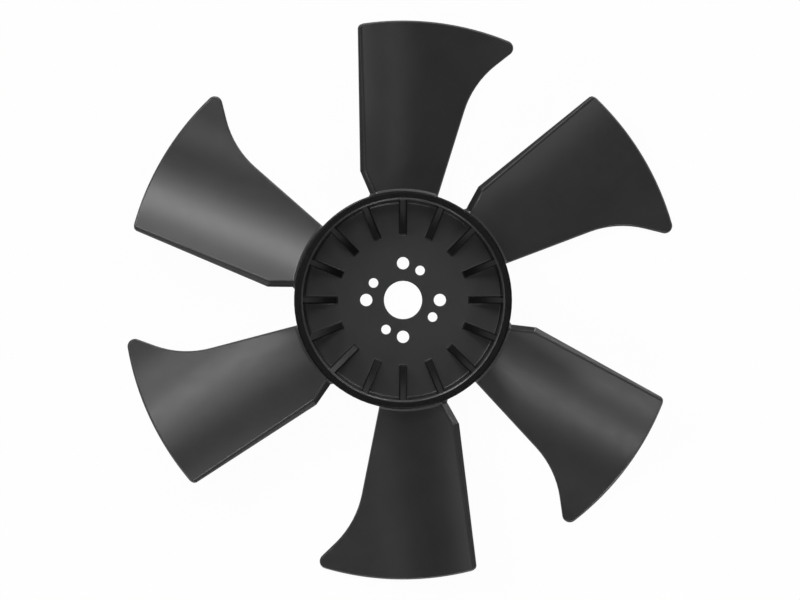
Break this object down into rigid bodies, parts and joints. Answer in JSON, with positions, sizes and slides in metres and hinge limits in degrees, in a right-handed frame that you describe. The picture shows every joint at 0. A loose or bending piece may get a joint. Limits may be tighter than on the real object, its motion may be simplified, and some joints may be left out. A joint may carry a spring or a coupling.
{
  "type": "engine cooling fan",
  "caption": "One-piece plastic engine cooling fan: a ribbed hub cup with a pilot bore and bolt circles, and cambered blades with hooked tips at uneven angles.",
  "frame": {"origin": "on the fan's axis in the plane of its mounting face", "axes": "+Z along the axis, out of the open side of the hub cup; the mounting face looks along -Z"},
  "size_m": [0.3995, 0.41, 0.066],
  "materials": {
    "moulding": "satin black, as moulded"
  },
  "bodies": {
    "root": {"fan": "moulding"}
  },
  "joints": []
}
